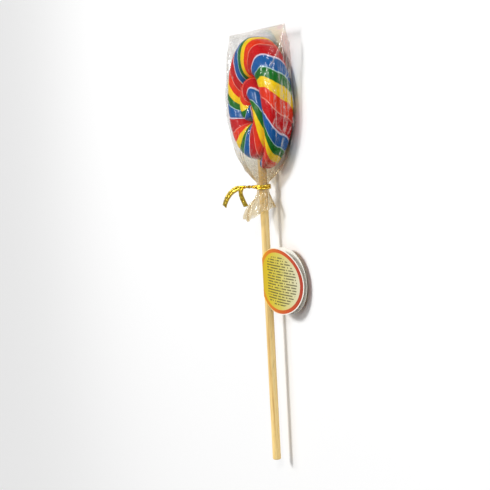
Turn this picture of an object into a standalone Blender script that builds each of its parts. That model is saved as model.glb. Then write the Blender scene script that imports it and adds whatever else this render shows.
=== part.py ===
"""A rainbow swirl lollipop in its clear bag, lying face up.

A striped rope of hard candy is coiled into a flat disc on a wooden stick. A clear film
bag is drawn over it, gathered under the candy and closed with a gold wire ribbon, and a
folded paper tag sits on the stick. Sizes are in metres. The disc lies in the XY plane,
the stick points to -Y, and the flat underside of the bag is at z = 0 below the centre.
"""
import math

import bmesh
import bpy
from mathutils import Vector
from mathutils.bvhtree import BVHTree

MM = 0.001

# Clearance between pieces that touch
GAP = 0.3 * MM

# Candy disc, a rope coiled inwards and anticlockwise from its tail beside the stick
DISC_RADIUS = 40 * MM
DISC_HALF_THICKNESS = 8.25 * MM
ROPE_WIDTH = 23 * MM
ROPE_TAIL_WIDTH = 6.5 * MM
ROPE_GAP = 0.3 * MM
CORE_RADIUS = 0.5 * MM
TAIL_ANGLE = math.radians(-81)
TAIL_TAPER = math.radians(100)
TUCK_ANGLE = math.radians(80)
CORE_TURN = math.radians(115)
COIL_ANGLE = math.radians(790)
COIL_STEP = math.radians(8.5)
ROPE_SIDES = 22
FULL_TURN = 2 * math.pi
# The outline is a little smaller than a circle and out of round
OUTLINE_INSET = 0.6 * MM
OVAL_WOBBLE = 0.5 * MM
THREE_SIDED_WOBBLE = 0.3 * MM
# The section is a superellipse, squarer on its outer side
OUTER_SQUARENESS = 2.7
INNER_SQUARENESS = 2.25
# The rope is thinner at its tail and at its tip in the disc's middle
TAIL_THINNING = 0.55
TAIL_THINNING_TURN = math.radians(70)
TIP_THINNING = 0.90
TIP_THINNING_TURN = math.radians(120)
# How far each end ring lies from the rope's end, and its share of the full section
TAIL_END_RINGS = ((0.4, 0.35), (2.0, 0.68), (4.5, 0.90))
TIP_END_RINGS = ((2.0, 0.35), (7.0, 0.68), (15.0, 0.90))

# Stick
STICK_RADIUS = 2.5 * MM
STICK_INSIDE = 26 * MM
STICK_OUTSIDE = 175 * MM
STICK_CHAMFER = 0.35 * MM
STICK_SIDES = 24
BORE_RADIUS = STICK_RADIUS + GAP
BORE_SIDES = 20
BORE_OVERRUN = 20 * MM

# Film bag
FILM_WALL = 0.35 * MM
SEAL_HALF_WIDTH = 47 * MM
SEAL_ABOVE_CANDY = 2.5 * MM
SEAL_HALF_THICKNESS = 0.35 * MM
NECK_BELOW_CANDY = 9 * MM
NECK_RADIUS = 3.2 * MM
NECK_HALF_LENGTH = 2.6 * MM
SKIRT_LENGTH = 20 * MM
SKIRT_RADIUS = 9.5 * MM
SKIRT_FLATTEN = 0.85
SKIRT_FLARE = 0.8 * SKIRT_LENGTH
# The skirt's edge: its long side, the share by which the other side is shorter, and its jags
SKIRT_LONG_SIDE = math.radians(115)
SKIRT_SLANT = 0.42
SKIRT_JAGS = 0.7 * MM
# How far the skirt's open end lies off the stick's line, across and upwards
SKIRT_DRIFT_ACROSS = -1.0 * MM
SKIRT_DRIFT_UP = 1.6 * MM
PLEATS = 9
PLEAT_DEPTH = 0.34
PLEAT_START_Y = -22 * MM
FILM_SIDES = 56
# Film stands a little off the candy, whose rim it follows to this depth
FILM_SLACK = 0.5 * MM
RIM_DEPTH = 11 * MM
# The taut form's points: round the disc, over its rim, and round the neck
DISC_POINTS = 72
RIM_LEVELS = 6
NECK_POINTS = 24
# Places of the film's rings: below the seal, beside the candy, and above the neck
SEAL_STATIONS = (0.01, 1.0, 1.9, 2.9, 4.5, 7.0, 10.5, 15.5, 21.5)
CANDY_STATIONS = (14, 7, 0, -7, -14, -20, -25, -29, -33, -37, -40)
NECK_STATIONS = (5.2, 3.7, 2.3, 1.0)
SKIRT_RINGS = 10

# Gold wire ribbon: a loop round the neck, its two ends twisted together, then two free tails
RIBBON_THICKNESS = 0.5 * MM
LOOP_WIDTH = 2.4 * MM
TWIST_WIDTH = 1.7 * MM
TAIL_WIDTH = 3.4 * MM
# Seen along the stick: where the twist points, and how far from there the loop opens
TWIST_BEARING = math.radians(127)
LOOP_OPENING = math.radians(50)
# The twist's ends from the middle of the neck, and each strand's middle from its axis
TWIST_START = 6.3 * MM
TWIST_END = 11.3 * MM
STRAND_OFFSET = 0.5 * MM
# How straight each strand leaves the loop, and how far a tail swings out before it bends
LEAD_HANDLE = 1.5 * MM
TAIL_SWING = 0.45
LOOP_STEPS = 26
LEAD_STEPS = 4
TWIST_STEPS = 12
LONG_TAIL_STEPS = 13
SHORT_TAIL_STEPS = 9
# Tips of the two tails from the middle of the neck, and how their flat sides turn
LONG_TAIL_TIP = Vector((-24, -12, 17)) * MM
LONG_TAIL_FLAT = Vector((-0.19, 0.85, 0.35))
SHORT_TAIL_TIP = Vector((-12, -12, 7)) * MM
SHORT_TAIL_FLAT = Vector((-0.37, 0.61, 0.70))

# Paper tag
TAG_CENTRE_BELOW_CANDY = 65 * MM
TAG_LEAF_LENGTH = 52 * MM
TAG_LEAF_HALF_HEIGHT = 21.5 * MM
TAG_OVAL_CENTRE = 23 * MM
TAG_THICKNESS = 0.4 * MM
TAG_UPPER_SPRING = 1.6 * MM
TAG_UPPER_DROOP = 7.5 * MM
TAG_LOWER_DROOP = 4.6 * MM
TAG_LEAF_STEPS = 13
TAG_BEND_STEPS = 10
TAG_COLUMNS = 4

# Height of the disc's middle plane above the table
MID_HEIGHT = DISC_HALF_THICKNESS + GAP + FILM_WALL

NECK_Y = -DISC_RADIUS - NECK_BELOW_CANDY
NECK_TOP_Y = NECK_Y + NECK_HALF_LENGTH
SEAL_Y = DISC_RADIUS + SEAL_ABOVE_CANDY
STICK_END_Y = -DISC_RADIUS - STICK_OUTSIDE


def clear_scene():
    """Remove everything that the start-up file holds."""
    for item in list(bpy.data.objects):
        bpy.data.objects.remove(item, do_unlink=True)


def new_collection(name):
    """A collection linked to the scene."""
    made = bpy.data.collections.new(name)
    bpy.context.scene.collection.children.link(made)
    return made


def make_material(name, colour, roughness, metallic=0.0, alpha=1.0):
    """A Principled material with one colour."""
    made = bpy.data.materials.new(name)
    made.use_nodes = True
    shader = made.node_tree.nodes["Principled BSDF"]
    shader.inputs["Base Color"].default_value = (*colour, 1.0)
    shader.inputs["Roughness"].default_value = roughness
    shader.inputs["Metallic"].default_value = metallic
    shader.inputs["Alpha"].default_value = alpha
    return made


def add_object(name, mesh, collection, material):
    """Link a mesh to the scene as a named object with its own material."""
    made = bpy.data.objects.new(name, mesh)
    mesh.materials.append(material)
    collection.objects.link(made)
    return made


def smooth_step(value):
    """Ease from 0 to 1 while value runs from 0 to 1."""
    clamped = min(max(value, 0.0), 1.0)
    return clamped * clamped * (3.0 - 2.0 * clamped)


def mix(first, second, share):
    """The value that lies share of the way from first to second."""
    return first + (second - first) * share


def loft(name, rings, close_start=True, close_end=True):
    """A skin over rings that all have the same number of points."""
    shape = bmesh.new()
    loops = [[shape.verts.new(point) for point in ring] for ring in rings]
    for lower, upper in zip(loops, loops[1:]):
        for here in range(len(lower)):
            there = (here + 1) % len(lower)
            shape.faces.new((lower[here], lower[there], upper[there], upper[here]))
    if close_start:
        shape.faces.new(list(reversed(loops[0])))
    if close_end:
        shape.faces.new(loops[-1])
    bmesh.ops.recalc_face_normals(shape, faces=shape.faces)
    mesh = bpy.data.meshes.new(name)
    shape.to_mesh(mesh)
    shape.free()
    return mesh


def shade(item, angle_degrees):
    """Smooth shading with edges sharp past an angle."""
    item.data.shade_smooth()
    item.data.set_sharp_from_angle(angle=math.radians(angle_degrees))


def power_curve(value, exponent):
    """The signed power that squares off a circle's cosine or sine."""
    return math.copysign(abs(value) ** (2.0 / exponent), value)


def outline_radius(bearing):
    """The hand-made disc's outline: slightly out of round."""
    oval = OVAL_WOBBLE * math.cos(2 * bearing + 0.7)
    three_sided = THREE_SIDED_WOBBLE * math.cos(3 * bearing - 1.1)
    return DISC_RADIUS - OUTLINE_INSET + oval + three_sided


def rope_outer(turned):
    """Distance from the disc's centre to the rope's outer side, after turning by an angle."""
    if turned > FULL_TURN:
        return rope_inner(turned - FULL_TURN) - ROPE_GAP
    tucked = smooth_step((turned - FULL_TURN + TUCK_ANGLE) / TUCK_ANGLE)
    return outline_radius(TAIL_ANGLE + turned) - tucked * (ROPE_TAIL_WIDTH + ROPE_GAP)


def rope_inner(turned):
    """Distance from the disc's centre to the rope's inner side."""
    if turned > FULL_TURN:
        start = rope_outer(FULL_TURN) - ROPE_WIDTH
        return mix(start, CORE_RADIUS, smooth_step((turned - FULL_TURN) / CORE_TURN))
    width = mix(ROPE_TAIL_WIDTH, ROPE_WIDTH, smooth_step(turned / TAIL_TAPER))
    return rope_outer(turned) - width


def rope_half_height(turned):
    """The rope thins towards its tail and dips a little at its tip."""
    tail = mix(TAIL_THINNING, 1.0, smooth_step(turned / TAIL_THINNING_TURN))
    tip = mix(TIP_THINNING, 1.0, smooth_step((COIL_ANGLE - turned) / TIP_THINNING_TURN))
    return DISC_HALF_THICKNESS * tail * tip


def rope_section(turned, shrink):
    """One cross-section of the rope, in the upright plane through the disc's axis."""
    bearing = TAIL_ANGLE + turned
    outer = rope_outer(turned)
    inner = rope_inner(turned)
    middle = 0.5 * (outer + inner)
    half_width = 0.5 * (outer - inner)
    half_height = rope_half_height(turned)
    ring = []
    for step in range(ROPE_SIDES):
        around = FULL_TURN * step / ROPE_SIDES
        squareness = OUTER_SQUARENESS if math.cos(around) > 0 else INNER_SQUARENESS
        radius = middle + shrink * half_width * power_curve(math.cos(around), squareness)
        height = shrink * half_height * power_curve(math.sin(around), squareness)
        ring.append((
            radius * math.cos(bearing),
            radius * math.sin(bearing),
            MID_HEIGHT + height,
        ))
    return ring


def make_candy(collection, cutters, material):
    """The coiled rope, bored from below for the stick."""
    rings = []
    for lead, shrink in TAIL_END_RINGS:
        rings.append(rope_section(math.radians(lead), shrink))
    for step in range(1, int(COIL_ANGLE / COIL_STEP) - 1):
        rings.append(rope_section(step * COIL_STEP, 1.0))
    for lead, shrink in reversed(TIP_END_RINGS):
        rings.append(rope_section(COIL_ANGLE - math.radians(lead), shrink))
    candy = add_object("candy", loft("candy", rings), collection, material)

    length = STICK_INSIDE + BORE_OVERRUN
    bpy.ops.mesh.primitive_cylinder_add(
        vertices=BORE_SIDES,
        radius=BORE_RADIUS,
        depth=length,
        location=(0, -DISC_RADIUS + STICK_INSIDE + GAP - 0.5 * length, MID_HEIGHT),
        rotation=(math.radians(90), 0, 0),
    )
    bore = bpy.context.object
    bore.name = "stick_bore"
    bore.hide_render = True
    bore.display_type = "WIRE"
    for owner in list(bore.users_collection):
        owner.objects.unlink(bore)
    cutters.objects.link(bore)
    cut = candy.modifiers.new("stick bore", "BOOLEAN")
    cut.operation = "DIFFERENCE"
    cut.solver = "EXACT"
    cut.object = bore
    shade(candy, 45)


def make_stick(collection, material):
    """A round wooden stick with eased ends."""
    length = STICK_INSIDE + STICK_OUTSIDE
    bpy.ops.mesh.primitive_cylinder_add(
        vertices=STICK_SIDES,
        radius=STICK_RADIUS,
        depth=length,
        location=(0, STICK_END_Y + 0.5 * length, MID_HEIGHT),
        rotation=(math.radians(90), 0, 0),
    )
    stick = bpy.context.object
    stick.name = "stick"
    stick.data.materials.append(material)
    for owner in list(stick.users_collection):
        owner.objects.unlink(stick)
    collection.objects.link(stick)
    ease = stick.modifiers.new("eased ends", "BEVEL")
    ease.width = STICK_CHAMFER
    ease.segments = 2
    ease.limit_method = "ANGLE"
    ease.angle_limit = math.radians(60)
    shade(stick, 35)


def taut_hull():
    """The convex form that stretched film takes over the disc, from seal to neck."""
    shape = bmesh.new()
    disc_radius = DISC_RADIUS + FILM_SLACK + GAP
    half_height = DISC_HALF_THICKNESS + GAP
    for around in range(DISC_POINTS):
        bearing = FULL_TURN * around / DISC_POINTS
        for level in range(-RIM_LEVELS, RIM_LEVELS + 1):
            lean = 0.5 * math.pi * level / RIM_LEVELS
            inset = RIM_DEPTH * (1 - power_curve(math.cos(lean), OUTER_SQUARENESS))
            radius = disc_radius - inset
            height = half_height * power_curve(math.sin(lean), OUTER_SQUARENESS)
            shape.verts.new((radius * math.cos(bearing), radius * math.sin(bearing), height))
    for side in (-1, 1):
        for face in (-1, 1):
            shape.verts.new((side * SEAL_HALF_WIDTH, SEAL_Y, face * SEAL_HALF_THICKNESS))
    for around in range(NECK_POINTS):
        bearing = FULL_TURN * around / NECK_POINTS
        across = NECK_RADIUS * math.cos(bearing)
        shape.verts.new((across, NECK_TOP_Y, NECK_RADIUS * math.sin(bearing)))
    bmesh.ops.convex_hull(shape, input=shape.verts)
    tree = BVHTree.FromBMesh(shape)
    shape.free()
    return tree


def reach(hull, along, aim):
    """Distance from the stick's line to the taut film, in a direction across it."""
    return hull.ray_cast(Vector((0, along, 0)), aim)[3]


def film_ring(along, hull):
    """One ring of the taut film at a place along the stick's line."""
    half_width = reach(hull, along, Vector((1, 0, 0)))
    half_height = reach(hull, along, Vector((0, 0, 1)))
    ring = []
    for step in range(FILM_SIDES):
        around = FULL_TURN * step / FILM_SIDES
        aim = Vector((half_width * math.cos(around), 0, half_height * math.sin(around)))
        aim.normalize()
        swell = 1 + PLEAT_DEPTH * pleat_strength(along) * pleat_wave(around, along)
        point = aim * reach(hull, along, aim) * swell
        ring.append((point.x, along, MID_HEIGHT + point.z))
    return ring


def pleat_strength(along):
    """Gathers fade out from the neck towards the candy's middle."""
    return 0.5 * smooth_step((PLEAT_START_Y - along) / (PLEAT_START_Y - NECK_TOP_Y)) ** 2


def pleat_wave(around, along):
    """Uneven gathers round the bag, never below the taut form."""
    wave = math.cos(PLEATS * around + 0.8 * math.sin(2 * around))
    uneven = 0.75 + 0.25 * math.sin(3 * around + 90 * along)
    return 0.5 * (1 + wave) * uneven


def skirt_end(around):
    """Where the skirt's uneven edge lies along the stick."""
    lean = 0.5 * (1 - math.cos(around - SKIRT_LONG_SIDE))
    jags = math.sin(3 * around + 0.5) + 0.6 * math.sin(7 * around)
    return NECK_Y - SKIRT_LENGTH * (1 - SKIRT_SLANT * lean) + SKIRT_JAGS * jags


def skirt_ring(downwards):
    """One ring of the flared, pleated skirt, at a share of the way from the neck to its edge."""
    ring = []
    for step in range(FILM_SIDES):
        around = FULL_TURN * step / FILM_SIDES
        along = mix(NECK_TOP_Y - GAP, skirt_end(around), downwards)
        share = smooth_step((NECK_Y - NECK_HALF_LENGTH - along) / SKIRT_FLARE)
        depth = mix(0.5 * PLEAT_DEPTH, PLEAT_DEPTH, share)
        fold = 1 + depth * (pleat_wave(around, NECK_Y) - 0.6 * share)
        radius = mix(NECK_RADIUS, SKIRT_RADIUS, share) * fold
        across = radius * math.cos(around) + SKIRT_DRIFT_ACROSS * share
        upright = radius * mix(1.0, SKIRT_FLATTEN, share) * math.sin(around) + SKIRT_DRIFT_UP * share
        ring.append((across, along, MID_HEIGHT + upright))
    return ring


def make_film(collection, material):
    """The bag: an open skin from the top seal to the skirt, given its wall."""
    hull = taut_hull()
    stations = [SEAL_Y - step * MM for step in SEAL_STATIONS]
    stations += [step * MM for step in CANDY_STATIONS]
    stations += [NECK_TOP_Y + step * MM for step in NECK_STATIONS]
    rings = [film_ring(along, hull) for along in stations]
    for step in range(SKIRT_RINGS + 1):
        rings.append(skirt_ring((step / SKIRT_RINGS) ** 1.15))
    mesh = loft("film", rings, close_start=True, close_end=False)
    film = add_object("film", mesh, collection, material)
    wall = film.modifiers.new("film wall", "SOLIDIFY")
    wall.thickness = FILM_WALL
    wall.offset = 1.0
    wall.use_even_offset = False
    shade(film, 50)


def ribbon_loop(radius):
    """The ribbon round the neck: middle points, width directions and widths."""
    frames = []
    for step in range(LOOP_STEPS + 1):
        share = step / LOOP_STEPS
        bearing = TWIST_BEARING + mix(LOOP_OPENING, FULL_TURN - LOOP_OPENING, share)
        out = Vector((math.cos(bearing), 0, math.sin(bearing)))
        frames.append((Vector((0, NECK_Y, MID_HEIGHT)) + out * radius, Vector((0, 1, 0)), LOOP_WIDTH))
    return frames


def ribbon_strand(side, radius):
    """One strand from the loop's end outwards, through the twist."""
    neck = Vector((0, NECK_Y, MID_HEIGHT))
    along = Vector((0, 1, 0))
    out = Vector((math.cos(TWIST_BEARING), 0, math.sin(TWIST_BEARING)))
    beside = Vector((-math.sin(TWIST_BEARING), 0, math.cos(TWIST_BEARING))) * side
    start = neck + (out * math.cos(LOOP_OPENING) + beside * math.sin(LOOP_OPENING)) * radius
    heading = out * math.sin(LOOP_OPENING) - beside * math.cos(LOOP_OPENING)
    end = neck + out * TWIST_START + beside * STRAND_OFFSET
    points = (start, start + heading * LEAD_HANDLE, end - out * LEAD_HANDLE, end)
    frames = []
    for step in range(1, LEAD_STEPS + 1):
        share = step / LEAD_STEPS
        rest = 1 - share
        middle = points[0] * rest ** 3 + points[1] * (3 * rest ** 2 * share)
        middle += points[2] * (3 * rest * share ** 2) + points[3] * share ** 3
        frames.append((middle, along, mix(LOOP_WIDTH, TWIST_WIDTH, share)))
    for step in range(1, TWIST_STEPS + 1):
        share = step / TWIST_STEPS
        turn = FULL_TURN * share
        offset = beside * math.cos(turn) + along * (side * math.sin(turn))
        middle = neck + out * mix(TWIST_START, TWIST_END, share) + offset * STRAND_OFFSET
        flat = along * math.cos(turn) - beside * (side * math.sin(turn))
        frames.append((middle, flat, TWIST_WIDTH))
    return frames


def ribbon_tail(start, tip, tip_flat, steps):
    """A tail's frames, curving from the twist's end to its tip."""
    out = Vector((math.cos(TWIST_BEARING), 0, math.sin(TWIST_BEARING)))
    end = Vector((0, NECK_Y, MID_HEIGHT)) + tip
    bend = start + out * TAIL_SWING * (end - start).length
    frames = []
    for step in range(1, steps + 1):
        share = step / steps
        middle = start.lerp(bend, share).lerp(bend.lerp(end, share), share)
        flat = Vector((0, 1, 0)).lerp(tip_flat, smooth_step(share)).normalized()
        frames.append((middle, flat, mix(TWIST_WIDTH, TAIL_WIDTH, smooth_step(3 * share))))
    return frames


def ribbon_frames():
    """Middle points, width directions and widths along the ribbon, from tip to tip."""
    clear_radius = NECK_RADIUS * (1 + 0.5 * PLEAT_DEPTH) + FILM_WALL + GAP
    radius = clear_radius + 0.5 * RIBBON_THICKNESS
    short = ribbon_strand(1, radius)
    short += ribbon_tail(short[-1][0], SHORT_TAIL_TIP, SHORT_TAIL_FLAT, SHORT_TAIL_STEPS)
    long = ribbon_strand(-1, radius)
    long += ribbon_tail(long[-1][0], LONG_TAIL_TIP, LONG_TAIL_FLAT, LONG_TAIL_STEPS)
    return list(reversed(short)) + ribbon_loop(radius) + long


def make_tie(collection, material):
    """The gold ribbon: a loop round the neck, a twist and two free tails."""
    frames = ribbon_frames()
    rings = []
    for index, (middle, flat, width) in enumerate(frames):
        before = frames[max(index - 1, 0)][0]
        after = frames[min(index + 1, len(frames) - 1)][0]
        tangent = (after - before).normalized()
        side = (flat - tangent * flat.dot(tangent)).normalized()
        normal = tangent.cross(side)
        ring = []
        for across, up in ((-1, -1), (0, -1), (1, -1), (1, 1), (0, 1), (-1, 1)):
            offset = side * (0.5 * width * across)
            offset += normal * (0.5 * RIBBON_THICKNESS * up)
            ring.append(middle + offset)
        rings.append(ring)
    tie = add_object("tie", loft("tie", rings), collection, material)
    shade(tie, 40)


def tag_profile():
    """The bent paper seen along the stick: arc lengths from the fold, and points."""
    bend = STICK_RADIUS + GAP
    quarter = 0.5 * math.pi
    steps = range(1, TAG_LEAF_STEPS + 1)
    shares = [math.sin(quarter * step / TAG_LEAF_STEPS) for step in steps]
    points = []
    for share in reversed(shares):
        sag = TAG_LOWER_DROOP * share ** 1.3
        points.append((-share, TAG_LEAF_LENGTH * share, MID_HEIGHT - bend - sag))
    for step in range(TAG_BEND_STEPS + 1):
        turn = -math.pi * (0.5 + step / TAG_BEND_STEPS)
        points.append((0.0, bend * math.cos(turn), MID_HEIGHT + bend * math.sin(turn)))
    for share in shares:
        lift = TAG_UPPER_SPRING * math.sin(math.pi * share) - TAG_UPPER_DROOP * share ** 1.1
        points.append((share, TAG_LEAF_LENGTH * share, MID_HEIGHT + bend + lift))
    return points


def tag_half_height(share):
    """Half of the leaf's height at a share of its length: an oval cut by the fold."""
    semi_length = TAG_LEAF_LENGTH - TAG_OVAL_CENTRE
    offset = (abs(share) * TAG_LEAF_LENGTH - TAG_OVAL_CENTRE) / semi_length
    return TAG_LEAF_HALF_HEIGHT * math.sqrt(max(1 - min(offset * offset, 0.995), 0.0))


def make_tag(collection, material):
    """One piece of paper folded round the stick, with two oval leaves."""
    centre_y = -DISC_RADIUS - TAG_CENTRE_BELOW_CANDY
    profile = tag_profile()
    shape = bmesh.new()
    rows = []
    for share, across, upright in profile:
        half = tag_half_height(share)
        row = []
        for column in range(TAG_COLUMNS + 1):
            along = centre_y + half * (2 * column / TAG_COLUMNS - 1)
            row.append(shape.verts.new((across, along, upright)))
        rows.append(row)
    for lower, upper in zip(rows, rows[1:]):
        for column in range(TAG_COLUMNS):
            corners = (upper[column], upper[column + 1], lower[column + 1], lower[column])
            shape.faces.new(corners)
    mesh = bpy.data.meshes.new("tag")
    shape.to_mesh(mesh)
    shape.free()
    tag = add_object("tag", mesh, collection, material)
    paper = tag.modifiers.new("paper", "SOLIDIFY")
    paper.thickness = TAG_THICKNESS
    paper.offset = 1.0
    paper.use_even_offset = True
    shade(tag, 50)


def main():
    """Build the lollipop."""
    clear_scene()
    lollipop = new_collection("lollipop")
    cutters = new_collection("cutters")
    make_candy(lollipop, cutters, make_material("candy", (0.62, 0.02, 0.04), 0.15))
    make_stick(lollipop, make_material("wood", (0.72, 0.50, 0.25), 0.6))
    make_film(lollipop, make_material("film", (0.95, 0.95, 0.95), 0.08, alpha=0.35))
    make_tie(lollipop, make_material("gold", (0.83, 0.58, 0.10), 0.2, metallic=1.0))
    make_tag(lollipop, make_material("paper", (0.90, 0.78, 0.15), 0.5))


main()
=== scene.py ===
import math
import random

import bmesh
import bpy
import numpy as np
from mathutils import Matrix, Vector, noise
from mathutils.bvhtree import BVHTree
from mathutils.geometry import delaunay_2d_cdt


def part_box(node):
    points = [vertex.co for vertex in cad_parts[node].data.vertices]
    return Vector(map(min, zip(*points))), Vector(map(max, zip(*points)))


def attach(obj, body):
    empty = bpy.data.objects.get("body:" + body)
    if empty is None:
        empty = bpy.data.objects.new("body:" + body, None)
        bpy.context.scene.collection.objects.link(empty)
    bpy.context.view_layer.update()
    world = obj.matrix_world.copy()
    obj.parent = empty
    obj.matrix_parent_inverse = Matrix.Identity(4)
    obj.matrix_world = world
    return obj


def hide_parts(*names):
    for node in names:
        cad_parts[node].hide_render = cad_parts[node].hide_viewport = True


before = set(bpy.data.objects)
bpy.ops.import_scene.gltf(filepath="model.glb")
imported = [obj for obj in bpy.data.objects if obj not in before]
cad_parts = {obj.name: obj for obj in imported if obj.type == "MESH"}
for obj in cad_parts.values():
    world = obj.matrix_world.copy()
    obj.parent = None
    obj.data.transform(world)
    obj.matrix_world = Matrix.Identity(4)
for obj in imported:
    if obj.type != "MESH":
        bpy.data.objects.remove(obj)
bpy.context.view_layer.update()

MM = 0.001
FULL_TURN = 2 * math.pi

# Places read from the frame
CANDY_LOW, CANDY_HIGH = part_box("candy")
FILM_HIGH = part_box("film")[1]
STICK_LOW, STICK_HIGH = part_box("stick")
TAG_LOW, TAG_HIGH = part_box("tag")
MID_HEIGHT = 0.5 * (CANDY_LOW[2] + CANDY_HIGH[2])
CANDY_HALF_THICKNESS = 0.5 * (CANDY_HIGH[2] - CANDY_LOW[2])
STICK_RADIUS = 0.5 * (STICK_HIGH[0] - STICK_LOW[0])
STICK_END_Y = STICK_LOW[1]
STICK_TOP_Y = STICK_HIGH[1]

# The coil, as its solid has it
DISC_RADIUS = 40 * MM
ROPE_WIDTH = 23 * MM
ROPE_TAIL_WIDTH = 6.5 * MM
ROPE_GAP = 0.3 * MM
CORE_RADIUS = 0.5 * MM
TAIL_ANGLE = math.radians(-81)
TAIL_TAPER = math.radians(100)
TUCK_ANGLE = math.radians(80)
CORE_TURN = math.radians(115)
COIL_ANGLE = math.radians(790)
TAIL_ROUNDING = math.radians(6)
TIP_ROUNDING = math.radians(22)
TAIL_THINNING = math.radians(70)
TAIL_THINNEST = 0.55
TIP_THINNING = math.radians(120)
TIP_THINNEST = 0.90
OUTER_SQUARENESS = 2.7
INNER_SQUARENESS = 2.25
ROPE_SIDES = 100
ROPE_CUTS = (24, 23)

# The stick's mesh
STICK_SIDES = 56
STICK_CUTS = 60
STICK_EASING = 0.45 * MM

# Stripes run round the rope and twist along it
STRIPE_LEAD = 34 * MM
STRIPE_START = 0.20

# The bag
NECK_Y = -49 * MM
NECK_HALF_LENGTH = 2.6 * MM
NECK_TOP_Y = NECK_Y + NECK_HALF_LENGTH
NECK_LOW_Y = NECK_Y - NECK_HALF_LENGTH
SEAL_Y = FILM_HIGH[1]
NECK_RADIUS = 3.2 * MM
SKIRT_LENGTH = 20 * MM
SKIRT_RADIUS = 9.5 * MM
SKIRT_FLATTEN = 0.85
SKIRT_FLARE = 0.8 * SKIRT_LENGTH
SKIRT_LONG_SIDE = math.radians(115)
SKIRT_SLANT = 0.42
SKIRT_JAGS = 0.7 * MM
SKIRT_DRIFT_ACROSS = -1.0 * MM
SKIRT_DRIFT_UP = 1.6 * MM
# The share of the tube's rings that make the skirt
SKIRT_RINGS = 0.19
SKIRT_INSET = 0.3 * MM
SKIRT_FACETS = 1.3 * MM
SEAL_INSET = 0.45 * MM
PLEATS = 9
PLEAT_DEPTH = 0.34
GIRTH = 200 * MM
BAG_SIDES = 270
BAG_CUTS = (15, 15)
FACET_JITTER = 0.42
BROAD_FACETS = 2.0
FINE_FACETS = 0.55
CORNER_CREASES = 5
SIDE_CREASES = 9
SMALL_CREASES = 150
GATHERS = 15
GATHER_HEIGHT = 2.7 * MM
GATHER_RISE = 7 * MM
GATHER_FADE = 12 * MM
SKIRT_GATHER_HEIGHT = 2.0 * MM
SKIRT_GATHER_RISE = 10 * MM
NECK_CRINKLES = 0.10 * MM
CREASE_FROM = math.radians(10)
CREASE_FULL = math.radians(48)
ABOVE_FLOOR = 0.06 * MM
# The flat fin above the candy, which waves a little
FIN_START = 15 * MM
FIN_SPAN = 30 * MM
FIN_WAVE = 1.3 * MM

# The ribbon: a loop round the neck, its two ends twisted together, then two free tails
LOOP_RADIUS = 4.6 * MM
LOOP_WIDTH = 2.5 * MM
TWIST_WIDTH = 1.7 * MM
TAIL_WIDTH = 3.4 * MM
TWIST_BEARING = math.radians(127)
LOOP_OPENING = math.radians(50)
TWIST_START = 6.3 * MM
TWIST_END = 11.3 * MM
STRAND_OFFSET = 0.5 * MM
LEAD_HANDLE = 1.5 * MM
TAIL_SWING = 0.45
LONG_TAIL_TIP = Vector((-24, -12, 17)) * MM
LONG_TAIL_FLAT = Vector((-0.19, 0.85, 0.35))
SHORT_TAIL_TIP = Vector((-12, -12, 7)) * MM
SHORT_TAIL_FLAT = Vector((-0.37, 0.61, 0.70))
NECK = Vector((0, NECK_Y, MID_HEIGHT))
ALONG = Vector((0, 1, 0))
TWIST_OUT = Vector((math.cos(TWIST_BEARING), 0, math.sin(TWIST_BEARING)))
LOOP_STEPS = 120
LEAD_STEPS = 16
TWIST_STEPS = 50
SHORT_TAIL_STEPS = 56
LONG_TAIL_STEPS = 90
RIBBON_COLUMNS = 12
RIBBON_CUP = 0.20
RIBBON_WIRE = 0.28
RIBBON_WIRE_WIDTH = 0.17
RIBBON_THICKNESS = 0.12 * MM

# The tag: its leaves are drawn a little smaller than the solid's, inside it
TAG_RAISED = 2 * MM
TAG_CENTRE_Y = 0.5 * (TAG_LOW[1] + TAG_HIGH[1]) + TAG_RAISED
TAG_LEAF_LENGTH = 47 * MM
TAG_LEAF_HALF_HEIGHT = 19.4 * MM
TAG_OVAL_CENTRE = 20.8 * MM
TAG_UPPER_SPRING = 1.6 * MM
TAG_UPPER_DROOP = 7 * MM
TAG_LOWER_DROOP = 3.2 * MM
TAG_PAPER = 0.28 * MM
TAG_BEND_GAP = 0.35 * MM
TAG_WAVE = 0.5 * MM
TAG_LEAF_STEPS = 44
TAG_BEND_STEPS = 20
TAG_COLUMNS = 40
# Shares of the way from the oval's middle to the leaf's edge
BORDER_INNER = 0.865
BORDER_OUTER = 0.975
PRINT_OUTER = 0.76
# Shares of the leaf's length, of a row's height and of the cells left blank
PRINT_START = 0.16
ROW_TOP = 0.30
ROW_FOOT = 0.78
BLANK_CELLS = 0.18
ROWS_EACH_WAY = 12.0
CELLS_ALONG = 46.0

# The camera: beside the lying lollipop, on its +X side, looking down on it
CAMERA_SLANT = math.radians(20)
CAMERA_ROLL = math.radians(3)
CAMERA_DISTANCE = 700 * MM
CAMERA_Y = 0 * MM
LENS_MM = 87
AIM = Vector((-4.3 * MM, -83.2 * MM, MID_HEIGHT + 11.8 * MM))

FLOOR_WIDTH = 40
FLOOR_DROP = 0.02 * MM


def srgb(red, green, blue):
    """A linear colour from screen values between 0 and 255."""
    def linear(value):
        share = value / 255
        return share / 12.92 if share <= 0.04045 else ((share + 0.055) / 1.055) ** 2.4
    return (linear(red), linear(green), linear(blue), 1.0)


def mix(first, second, share):
    """The value that lies share of the way from first to second."""
    return first + (second - first) * share


def smooth_step(value):
    """Ease from 0 to 1 while value runs from 0 to 1."""
    clamped = min(max(value, 0.0), 1.0)
    return clamped * clamped * (3.0 - 2.0 * clamped)


def power_curve(value, exponent):
    """The signed power that squares off a circle's cosine or sine."""
    return math.copysign(abs(value) ** (2.0 / exponent), value)


def deselect():
    """Leave edit mode and select nothing."""
    if bpy.context.object and bpy.context.object.mode != "OBJECT":
        bpy.ops.object.mode_set(mode="OBJECT")
    bpy.ops.object.select_all(action="DESELECT")


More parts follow.
